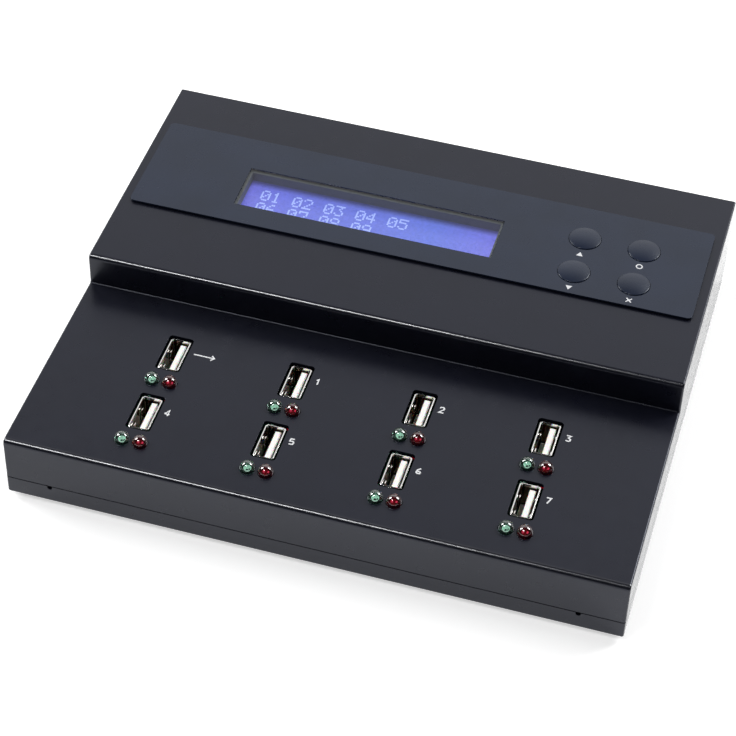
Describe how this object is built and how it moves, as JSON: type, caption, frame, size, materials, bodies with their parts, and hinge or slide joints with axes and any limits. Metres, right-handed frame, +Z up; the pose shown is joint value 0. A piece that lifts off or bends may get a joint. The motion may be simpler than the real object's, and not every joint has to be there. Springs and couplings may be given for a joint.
{
  "type": "usb flash drive duplicator",
  "caption": "Desktop unit that copies USB flash drives: stepped sheet-metal case with upright USB sockets, status lamps, a text display, push buttons and a rear power switch.",
  "frame": {"origin": "middle of the overall footprint, on the surface that the rubber feet stand on", "axes": "+X along the width to the user's right, +Y from the user's edge to the rear panel, +Z up"},
  "size_m": [0.185, 0.1589, 0.036],
  "materials": {
    "black_steel": "satin black powder coat on sheet steel",
    "panel_film": "fine matte blue-grey printed film",
    "clear_plastic": "clear polished acrylic window",
    "dark_plastic": "grey-black moulded frame",
    "bezel_steel": "black painted sheet",
    "display_blue": "backlit blue display glass",
    "circuit_board": "green solder mask",
    "nickel": "bright nickel plate",
    "ivory_plastic": "ivory moulded insulator",
    "green_lens": "tinted green lamp lens, unlit",
    "red_lens": "tinted red lamp lens, unlit",
    "switch_black": "black moulded plastic",
    "rubber": "black rubber",
    "ribbon_grey": "grey flat cable"
  },
  "bodies": {
    "case": {"top_cover": "black_steel", "base_tray": "black_steel", "foot_front_left": "rubber", "foot_rear_left": "rubber", "foot_front_right": "rubber", "foot_rear_right": "rubber", "main_board": "circuit_board", "lcd_board": "circuit_board", "button_board": "circuit_board", "controller_chip": "switch_black", "ribbon_cable": "ribbon_grey", "usb_shell_0": "nickel", "usb_shell_1": "nickel", "usb_shell_2": "nickel", "usb_shell_3": "nickel", "usb_shell_4": "nickel", "usb_shell_5": "nickel", "usb_shell_6": "nickel", "usb_shell_7": "nickel", "usb_tongue_0": "ivory_plastic", "usb_tongue_1": "ivory_plastic", "usb_tongue_2": "ivory_plastic", "usb_tongue_3": "ivory_plastic", "usb_tongue_4": "ivory_plastic", "usb_tongue_5": "ivory_plastic", "usb_tongue_6": "ivory_plastic", "usb_tongue_7": "ivory_plastic", "led_green_0": "green_lens", "led_green_1": "green_lens", "led_green_2": "green_lens", "led_green_3": "green_lens", "led_green_4": "green_lens", "led_green_5": "green_lens", "led_green_6": "green_lens", "led_green_7": "green_lens", "led_red_0": "red_lens", "led_red_1": "red_lens", "led_red_2": "red_lens", "led_red_3": "red_lens", "led_red_4": "red_lens", "led_red_5": "red_lens", "led_red_6": "red_lens", "led_red_7": "red_lens", "control_panel": "panel_film", "lcd_lens": "clear_plastic", "lcd_frame": "dark_plastic", "lcd_bezel": "bezel_steel", "lcd_glass": "display_blue", "tact_switch_up": "switch_black", "tact_switch_ok": "switch_black", "tact_switch_down": "switch_black", "tact_switch_esc": "switch_black", "dc_inlet": "switch_black", "dc_inlet_pin": "nickel", "power_switch_frame": "switch_black"},
    "up_button": {"button_up": "panel_film"},
    "ok_button": {"button_ok": "panel_film"},
    "down_button": {"button_down": "panel_film"},
    "esc_button": {"button_esc": "panel_film"},
    "rocker": {"power_rocker": "switch_black"}
  },
  "joints": [
    {"name": "up_button_press", "type": "slide", "parent": "case", "child": "up_button", "axis": [0, 0, 1], "range_m": [-0.0005, 0], "stiffness_N_per_m": 800, "springref_m": 0.0005},
    {"name": "ok_button_press", "type": "slide", "parent": "case", "child": "ok_button", "axis": [0, 0, 1], "range_m": [-0.0005, 0], "stiffness_N_per_m": 800, "springref_m": 0.0005},
    {"name": "down_button_press", "type": "slide", "parent": "case", "child": "down_button", "axis": [0, 0, 1], "range_m": [-0.0005, 0], "stiffness_N_per_m": 800, "springref_m": 0.0005},
    {"name": "esc_button_press", "type": "slide", "parent": "case", "child": "esc_button", "axis": [0, 0, 1], "range_m": [-0.0005, 0], "stiffness_N_per_m": 800, "springref_m": 0.0005},
    {"name": "power_rocker_tilt", "type": "hinge", "parent": "case", "child": "rocker", "pos_m": [0.062, 0.07332, 0.0184], "axis": [0, 0, 1], "range_deg": [0, 20]}
  ]
}
